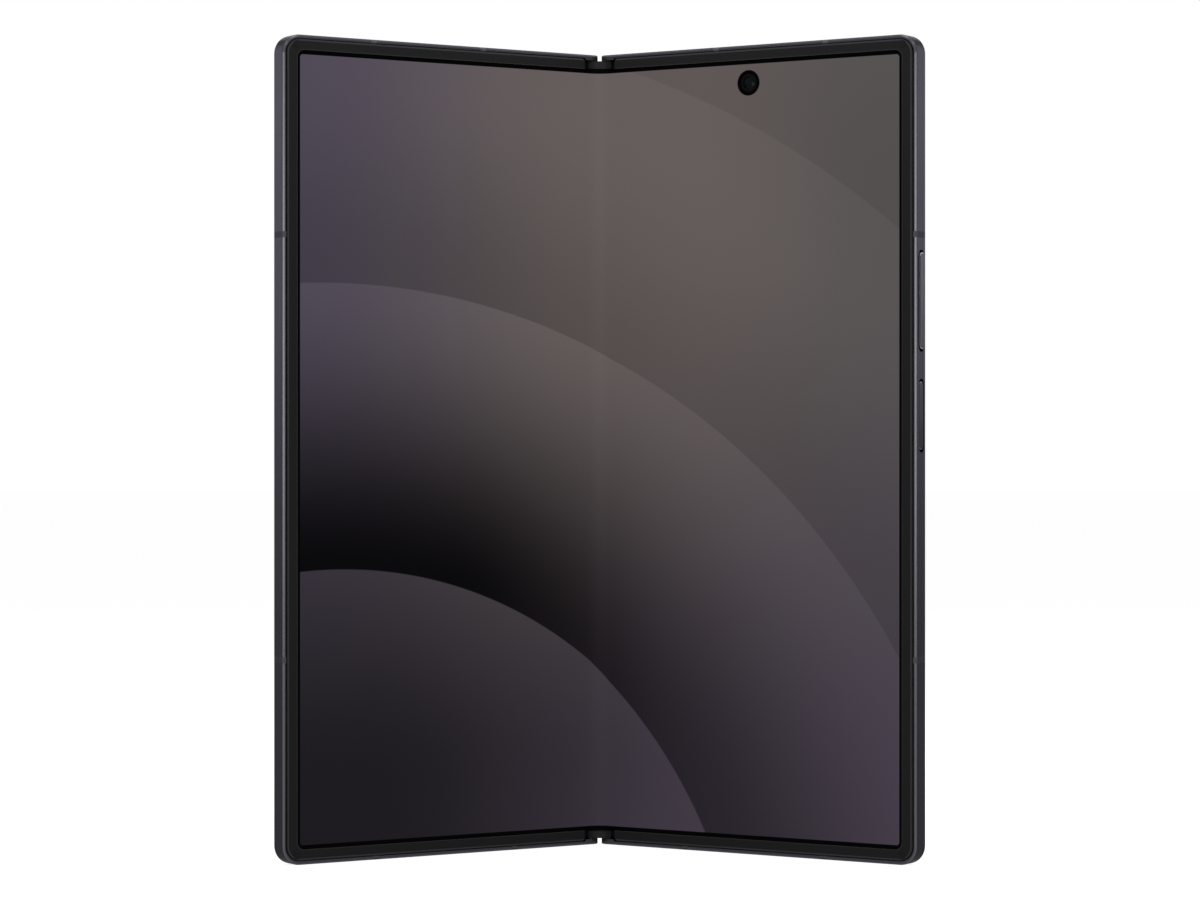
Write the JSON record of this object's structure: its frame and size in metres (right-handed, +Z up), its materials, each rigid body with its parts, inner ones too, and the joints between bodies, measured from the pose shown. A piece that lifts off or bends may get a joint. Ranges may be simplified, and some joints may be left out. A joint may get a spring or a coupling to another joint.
{
  "type": "foldable smartphone",
  "caption": "Book-style folding phone standing partly open on its lower edges, with two thin metal-framed leaves, a flexible inner display, a geared hinge, side keys and a rear camera island.",
  "frame": {"origin": "centre of the footprint of the standing phone, on the surface that its lower edges stand on", "axes": "+Z up along the fold, -Y the way the inner display faces, +X towards the leaf with the keys"},
  "size_m": [0.1244, 0.0414, 0.1584],
  "materials": {
    "frame_metal": "bead-blasted and anodised dark blue-grey, chamfers brighter",
    "hinge_cover_metal": "satin dark grey",
    "hinge_steel": "machined",
    "hinge_end_plastic": "fine matte black",
    "screw_steel": "bright, small heads",
    "spring_steel": "oiled",
    "gear_steel": "sintered, fine grain",
    "inner_display": "lit display film under a flexible cover, muted gradient",
    "bezel_polymer": "fine matte black polymer",
    "bumper_rubber": "soft matte",
    "antenna_resin": "satin resin, a shade darker than the frame",
    "battery_pouch": "foil pouch with black wrap",
    "circuit_board": "green solder mask",
    "shield_steel": "tinned sheet",
    "cover_display_panel": "switched off, black",
    "black_glass": "polished, black behind",
    "tinted_glass": "satin etched glass over a dark coat",
    "camera_housing": "matte black",
    "camera_glass": "coated lens",
    "lens_ring_metal": "turned, polished edge",
    "speaker_plastic": "moulded",
    "motor_steel": "plain",
    "socket_steel": "drawn shell",
    "coil_copper": "enamelled copper strands",
    "flash_lens": "frosted diffuser",
    "switch_brass": "dome switches on a strip",
    "key_metal": "anodised, as the frame, a shade lighter"
  },
  "bodies": {
    "spine": {"hinge_cover": "hinge_cover_metal", "hinge_end_caps": "hinge_end_plastic", "hinge_blocks": "hinge_steel", "hinge_screws": "screw_steel", "idler_pins": "hinge_steel", "friction_washers": "spring_steel", "display_fold": "inner_display"},
    "left_leaf": {"frame_left": "frame_metal", "bezel_left": "bezel_polymer", "bezel_bumpers_left": "bumper_rubber", "display_left": "inner_display", "antenna_windows_left": "antenna_resin", "rotors_left": "hinge_steel", "rotor_screws_left": "screw_steel", "battery_left": "battery_pouch", "sub_board": "circuit_board", "cover_display": "cover_display_panel", "cover_glass": "black_glass", "cover_camera": "camera_housing", "cover_camera_lens": "camera_glass", "earpiece": "speaker_plastic", "vibration_motor": "motor_steel", "sim_reader": "shield_steel"},
    "right_leaf": {"frame_right": "frame_metal", "bezel_right": "bezel_polymer", "bezel_bumpers_right": "bumper_rubber", "display_right": "inner_display", "antenna_windows_right": "antenna_resin", "rotors_right": "hinge_steel", "rotor_screws_right": "screw_steel", "battery_right": "battery_pouch", "main_board": "circuit_board", "shield_cans": "shield_steel", "loudspeaker": "speaker_plastic", "usb_socket": "socket_steel", "charging_coil": "coil_copper", "inner_camera": "camera_housing", "inner_camera_lens": "camera_glass", "back_glass": "tinted_glass", "camera_island": "frame_metal", "lens_rings": "lens_ring_metal", "lens_glasses": "camera_glass", "lens_elements": "camera_glass", "rear_cameras": "camera_housing", "flash": "flash_lens", "key_switches": "switch_brass"},
    "left_arm": {"sync_arm_left": "gear_steel"},
    "right_arm": {"sync_arm_right": "gear_steel"},
    "left_idler": {"idler_gear_left": "gear_steel"},
    "right_idler": {"idler_gear_right": "gear_steel"},
    "volume_key": {"volume_key": "key_metal"},
    "side_key": {"side_key": "key_metal"},
    "sim_tray": {"sim_tray": "frame_metal"}
  },
  "joints": [
    {"name": "left_fold", "type": "hinge", "parent": "spine", "child": "left_leaf", "pos_m": [-0.0013, 0.01774, 0.0792], "axis": [0, 0, 1], "range_deg": [-32.5, 57.5], "deforming": ["display_fold"]},
    {"name": "right_fold", "type": "hinge", "parent": "spine", "child": "right_leaf", "pos_m": [0.0013, 0.01774, 0.0792], "axis": [0, 0, 1], "range_deg": [-57.5, 32.5], "deforming": ["display_fold"]},
    {"name": "left_arm_turn", "type": "hinge", "parent": "spine", "child": "left_arm", "pos_m": [-0.00195, 0.01864, 0.0792], "axis": [0, 0, 1], "range_deg": [-32.5, 57.5]},
    {"name": "right_arm_turn", "type": "hinge", "parent": "spine", "child": "right_arm", "pos_m": [0.00195, 0.01864, 0.0792], "axis": [0, 0, 1], "range_deg": [-57.5, 32.5]},
    {"name": "left_idler_turn", "type": "hinge", "parent": "spine", "child": "left_idler", "pos_m": [-0.00065, 0.01864, 0.0792], "axis": [0, 0, 1], "range_deg": [-57.5, 32.5]},
    {"name": "right_idler_turn", "type": "hinge", "parent": "spine", "child": "right_idler", "pos_m": [0.00065, 0.01864, 0.0792], "axis": [0, 0, 1], "range_deg": [-32.5, 57.5]},
    {"name": "volume_rock", "type": "hinge", "parent": "right_leaf", "child": "volume_key", "pos_m": [0.05989, -0.01816, 0.1076], "axis": [0.5373, 0.8434, 0], "range_deg": [-1.8, 1.8], "stiffness_Nm_per_rad": 0.5},
    {"name": "side_press", "type": "slide", "parent": "right_leaf", "child": "side_key", "axis": [-0.8434, 0.5373, 0], "range_m": [0, 0.00025], "stiffness_N_per_m": 6000},
    {"name": "sim_tray_slide", "type": "slide", "parent": "left_leaf", "child": "sim_tray", "axis": [0, 0, -1], "range_m": [0, 0.02]}
  ],
  "couplings": [
    {"joint": "right_fold", "follows": "left_fold", "ratio": -1},
    {"joint": "left_arm_turn", "follows": "left_fold", "ratio": 1},
    {"joint": "right_arm_turn", "follows": "left_fold", "ratio": -1},
    {"joint": "left_idler_turn", "follows": "left_fold", "ratio": -1},
    {"joint": "right_idler_turn", "follows": "left_fold", "ratio": 1}
  ]
}
